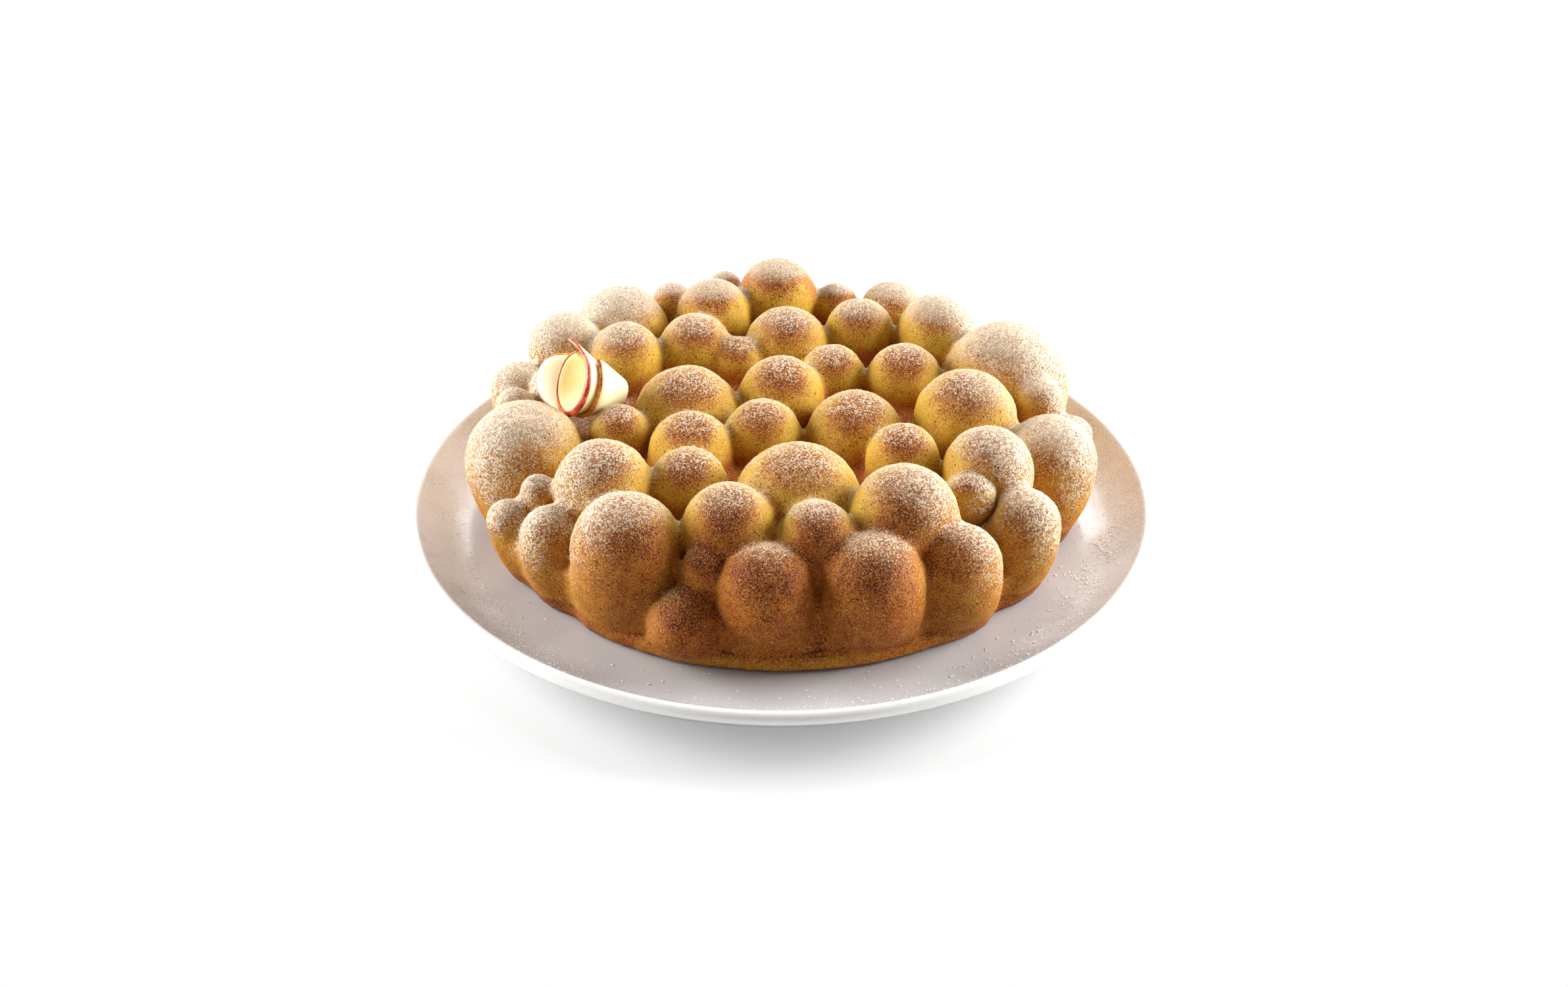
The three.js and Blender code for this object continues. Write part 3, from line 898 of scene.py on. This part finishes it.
def garnish_meshes():
    """The two rolled slices and their strips of peel, in place."""
    nesting = slice_thickness + seat_gap
    outer_spare = nesting / math.cos(cone_angle)
    flap_share = flap_steps / (flap_steps + round_steps)

    def inner_section(radius):
        return rolled_section(radius, 0.0, flap_length * radius / rim_radius)

    def outer_section(radius):
        return rolled_section(radius, outer_spare, 0.0)

    def taper(share, sharp):
        return min(1.0, share / flap_share) ** 0.8 if sharp else 1.0

    def bearing(share, sharp):
        part = max(0.0, share - flap_share) / (1 - flap_share) if sharp else share
        spare = 0.0 if sharp else outer_spare
        return flap_bearing - (2 * math.pi - closing_angle(rim_radius, spare)) * part

    def lobe(share):
        turned_by = (bearing(share, False) - lobe_bearing + math.pi) % (2 * math.pi) - math.pi
        half = lobe_half_widths[0] if turned_by < 0 else lobe_half_widths[1]
        return lobe_reach * math.cos(min(abs(turned_by) / half, 1.0) * math.pi / 2) ** 2

    def far_side(share, sharp):
        return 0.5 + 0.5 * math.cos(bearing(share, sharp) - far_bearing)

    heading = Vector((math.cos(mouth_heading), math.sin(mouth_heading), 0.0))
    axis = heading * math.cos(mouth_tilt) + Vector((0, 0, math.sin(mouth_tilt)))
    side = Vector((-heading.y, heading.x, 0.0))
    turn = Matrix((side, axis.cross(side), axis)).transposed().to_4x4()
    found = {}
    for layer, section, sharp in [("inner", inner_section, True), ("outer", outer_section, False)]:
        back = -rim_slant * math.cos(cone_angle)
        if layer == "outer":
            back -= nesting / math.sin(cone_angle)
        place = turn @ Matrix.Translation((0, 0, back))

        def rim_at(share):
            return rim_slant + (0.0 if sharp else lobe(share))

        def flesh_width(share):
            inner = rim_slant - (rim_slant - tail_slant) * max(0.06, taper(share, sharp))
            return inner, rim_at(share) + seat_gap * 0.5

        def plain_width(share):
            return flesh_width(share)[0], rim_slant + seat_gap * 0.5

        def peel_width(share):
            start = rim_at(share) - (0.5 * mm if sharp else 0.0) * (1 - far_side(share, sharp))
            broad = 1 - 0.7 * far_side(share, sharp) if sharp else 0.5
            return start + seat_gap * 0.3, rim_at(share) + seat_gap + peel_depth * broad

        def flesh_depth(share):
            return slice_thickness * (0.35 + 0.65 * taper(share, sharp))

        def peel_depth_at(share):
            if sharp:
                thin = 1.12 - 0.75 * far_side(share, sharp)
            else:
                thin = 0.7 - 0.45 * smooth_step(0.0, 0.3, lobe(share) / lobe_reach)
            return flesh_depth(share) * thin

        def peel_lift(share):
            flapping = 0.2 * (1 - taper(share, sharp))
            hidden = 0.0 if sharp else 0.3 * smooth_step(0.0, 0.2, lobe(share) / lobe_reach)
            return flesh_depth(share) * (flapping + hidden)

        for node, width, depth, steps, lift in [
            ("apple_slice", flesh_width, flesh_depth, slice_steps, None),
            ("apple_peel", peel_width, peel_depth_at, peel_steps, peel_lift),
        ]:
            mesh = conical_sheet(f"rolled_{node}_{layer}", section, width, depth, steps, lift)
            mesh.transform(place)
            found[f"{node}_{layer}"] = mesh

    # An outer slice without its lobe, like the solid, shows how far the group has to move
    plain = conical_sheet("plain_slice", outer_section, plain_width, flesh_depth, slice_steps)
    plain.transform(place)
    wanted = Vector(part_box("apple_slice_outer")[0])
    corner = Vector(points_of(plain).min(axis=0).tolist())
    shift = Matrix.Translation(wanted - corner + Vector(garnish_sink))
    bpy.data.meshes.remove(plain)
    for mesh in found.values():
        mesh.transform(shift)
    return found


# Sugar grains

def grains(name, places, ups, sizes):
    """Small four-sided crystals, turned at random, that lie on a surface."""
    corners = np.array([[1, 1, 1], [1, -1, -1], [-1, 1, -1], [-1, -1, 1]]) / math.sqrt(3)
    sides = np.array([(0, 1, 2), (0, 3, 1), (0, 2, 3), (1, 3, 2)])
    count = len(places)
    turns = dice.normal(size=(count, 4))
    turns /= np.linalg.norm(turns, axis=1)[:, None]
    w, x, y, z = turns.T
    rotation = np.stack([
        np.stack([1 - 2 * (y * y + z * z), 2 * (x * y - w * z), 2 * (x * z + w * y)], axis=1),
        np.stack([2 * (x * y + w * z), 1 - 2 * (x * x + z * z), 2 * (y * z - w * x)], axis=1),
        np.stack([2 * (x * z - w * y), 2 * (y * z + w * x), 1 - 2 * (x * x + y * y)], axis=1),
    ], axis=1)
    lengths = dice.uniform(*corner_lengths, size=(count, 4, 1)) * sizes[:, None, None] / 2
    local = corners[None] * lengths
    points = np.einsum("nij,nkj->nki", rotation, local)
    points -= grain_flatness * np.einsum("nki,ni->nk", points, ups)[:, :, None] * ups[:, None]
    points += (places + ups * sizes[:, None] * grain_lift)[:, None]
    index = np.arange(count)[:, None, None] * 4 + sides[None]
    return mesh_of(name, points.reshape(-1, 3).tolist(), index.reshape(-1, 3).tolist())


def grains_on_cake(mesh, dust_and_light, blockers):
    """Grains strewn over the crust where its sugar, with the painted light added to it, is thickest, clear
    of the garnish.
    """
    mesh.calc_loop_triangles()
    triangles = np.empty(len(mesh.loop_triangles) * 3, dtype=np.int64)
    mesh.loop_triangles.foreach_get("vertices", triangles)
    triangles = triangles.reshape(-1, 3)
    points = points_of(mesh)
    normals = normals_of(mesh)
    a, b, c = (points[triangles[:, k]] for k in range(3))
    area = np.linalg.norm(np.cross(b - a, c - a), axis=1) / 2
    bare = smooth_step(8 * mm, 16 * mm, points[triangles[:, 0], 2] - points[:, 2].min())
    weight = area * (dust_and_light[triangles].mean(axis=1) ** 2 + 0.02 * bare)
    picks = dice.choice(len(triangles), size=cake_grains, p=weight / weight.sum())
    shares = dice.dirichlet((1, 1, 1), size=cake_grains)
    places = np.einsum("nk,nkj->nj", shares, points[triangles[picks]])
    ups = np.einsum("nk,nkj->nj", shares, normals[triangles[picks]])
    sizes = dice.uniform(*cake_grain_sizes, size=cake_grains) * mm
    free = np.ones(cake_grains, dtype=bool)
    trees = []
    for blocker in blockers:
        corners = [vertex.co for vertex in blocker.vertices]
        trees.append(BVHTree.FromPolygons(corners, [face.vertices for face in blocker.polygons]))
    for row, place in enumerate(places):
        for tree in trees:
            if tree.find_nearest(Vector(place), garnish_clearance)[0] is not None:
                free[row] = False
    return grains("sugar_on_cake", places[free], ups[free], sizes[free])


def well_surface(radius):
    """Height of the plate's upper side at a distance from its axis."""
    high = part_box("plate")[1]
    run = high[0] - lip_thickness / 2 - well_radius
    rise = high[2] - well_height
    bend = flank_bend
    share = np.clip((radius - well_radius) / run, 0.0, 1.0)
    a = run - 2 * bend
    root = np.sqrt(np.maximum(bend * bend + a * np.maximum(radius - well_radius, 0.0), 0.0))
    step = np.where(share > 0, (root - bend) / a if abs(a) > 1e-9 else share, 0.0)
    return well_height + rise * np.clip(step, 0.0, 1.0) ** 2


def grains_on_plate():
    """Loose grains on the plate, thicker towards its rim and at its right, none under the cake."""
    low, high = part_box("cake")
    centre = np.array([0.0, (low[1] + high[1]) / 2])
    keep = foot_reach + grain_margin
    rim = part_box("plate")[1][0] - grain_margin
    found = []
    while len(found) < plate_grains:
        angle = dice.uniform(-math.pi, math.pi)
        scatter = near_spread if dice.uniform() < near_share else far_spread
        radius = rim - abs(dice.normal(0, scatter))
        place = np.array([radius * math.cos(angle), radius * math.sin(angle)])
        dense = math.exp(-((angle + thick_bearing) / thick_spread) ** 2)
        wanted = dice.uniform() < thin_chance + (1 - thin_chance) * dense
        if wanted and np.linalg.norm(place - centre) > keep:
            found.append((place[0], place[1], radius))
    for middle, spread, count in heaps:
        end = len(found) + count
        while len(found) < end:
            place = np.array(middle) + dice.normal(size=2) * np.array(spread)
            radius = np.linalg.norm(place)
            if np.linalg.norm(place - centre) > keep and radius < rim:
                found.append((place[0], place[1], radius))
    found = np.array(found)
    places = np.column_stack([found[:, 0], found[:, 1], well_surface(found[:, 2])])
    ups = np.tile([0.0, 0.0, 1.0], (len(found), 1))
    sizes = (plate_grain_size + plate_grain_spread * dice.uniform(size=len(found)) ** 2) * mm
    return grains("sugar_on_plate", places, ups, sizes)


# Pieces

crust = crust_material()
sugar = sugar_material("icing_sugar", colour(228, 220, 205), colour(242, 236, 225))
loose_sugar = sugar_material("loose_sugar", colour(250, 249, 247), colour(255, 255, 254))
glaze = glaze_material()
flesh = flesh_material()
red_skin = skin_material(
    "apple_skin_red", colour(150, 26, 12), colour(200, 62, 26), colour(232, 146, 84)
)
orange_skin = skin_material(
    "apple_skin_orange", colour(170, 66, 16), colour(226, 126, 40), colour(248, 200, 104)
)

plate_mesh = turned("coupe_plate", plate_outline(), plate_segments)
make_piece("coupe_plate", plate_mesh, [glaze], "plate", ["plate"])
crust_mesh, crust_dust_and_light = cake_crust()
make_piece("cake_crust", crust_mesh, [crust], "cake", ["cake"])
garnish = garnish_meshes()
for piece_name, mesh in garnish.items():
    layer = piece_name.split("_")[-1]
    if "peel" in piece_name:
        skin = red_skin if layer == "inner" else orange_skin
        make_piece(f"rolled_{piece_name}", mesh, [skin], "garnish", [piece_name])
    else:
        make_piece(f"rolled_{piece_name}", mesh, [flesh], "garnish", [piece_name])
cake_sugar = grains_on_cake(crust_mesh, crust_dust_and_light, list(garnish.values()))
make_piece("sugar_on_cake", cake_sugar, [sugar], "cake", smooth=False)
make_piece("sugar_on_plate", grains_on_plate(), [loose_sugar], "plate", smooth=False)


# Stage, light and camera

def stage_floor():
    material = bpy.data.materials.new("studio_floor")
    material.use_nodes = True
    tree = material.node_tree
    tree.nodes.clear()
    output = tree.nodes.new("ShaderNodeOutputMaterial")
    matt = tree.nodes.new("ShaderNodeBsdfPrincipled")
    matt.inputs["Base Color"].default_value = floor_shade
    matt.inputs["Roughness"].default_value = 0.35
    glow = tree.nodes.new("ShaderNodeEmission")
    path = tree.nodes.new("ShaderNodeLightPath")
    place = tree.nodes.new("ShaderNodeNewGeometry").outputs["Position"]
    fade = remap(tree, length_of(tree, place), *glow_fade, 0.3, 1.0)
    share = calc(tree, "MULTIPLY", path.outputs["Is Camera Ray"], fade)
    blend_surfaces(tree, output, share, matt, glow)
    corners = [(x * floor_half, y * floor_half, 0) for x, y in ((-1, -1), (1, -1), (1, 1), (-1, 1))]
    mesh = mesh_of("studio_floor", corners, [(0, 1, 2, 3)])
    mesh.materials.append(material)
    floor = bpy.data.objects.new("studio_floor", mesh)
    bpy.context.collection.objects.link(floor)
    floor.location.z = -floor_drop


def studio_world():
    world = bpy.data.worlds.new("studio")
    bpy.context.scene.world = world
    world.use_nodes = True
    tree = world.node_tree
    tree.nodes.clear()
    output = tree.nodes.new("ShaderNodeOutputWorld")
    room = tree.nodes.new("ShaderNodeBackground")
    room.inputs["Color"].default_value = room_tint
    room.inputs["Strength"].default_value = room_strength
    backdrop = tree.nodes.new("ShaderNodeBackground")
    backdrop.inputs["Strength"].default_value = 1.0
    backdrop.inputs["Color"].default_value = (*plain_white, 1.0)
    path = tree.nodes.new("ShaderNodeLightPath")
    blend_surfaces(tree, output, path.outputs["Is Camera Ray"], room, backdrop)


def area_lamp(name, place, size, power, tint):
    data = bpy.data.lights.new(name, "AREA")
    data.shape = "RECTANGLE"
    data.size, data.size_y = size
    data.energy = power
    data.color = tint
    lamp = bpy.data.objects.new(name, data)
    bpy.context.collection.objects.link(lamp)
    lamp.location = place
    lamp.rotation_euler = (Vector(lamp_aim) - Vector(place)).to_track_quat("-Z", "Y").to_euler()


def studio_camera():
    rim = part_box("plate")[1][2]
    data = bpy.data.cameras.new("camera")
    data.sensor_fit = "HORIZONTAL"
    data.sensor_width = view_sensor
    data.lens = view_lens
    data.clip_start = 0.01
    camera = bpy.data.objects.new("camera", data)
    bpy.context.collection.objects.link(camera)
    away = Vector((0.0, -math.cos(view_elevation), math.sin(view_elevation)))
    camera.location = Vector((view_side, 0.0, rim)) + away * view_distance
    camera.rotation_euler = (-away).to_track_quat("-Z", "Y").to_euler()
    bpy.context.scene.camera = camera


stage_floor()
studio_world()
for lamp in lamps:
    area_lamp(*lamp)
studio_camera()
bpy.context.scene.view_settings.view_transform = "Standard"
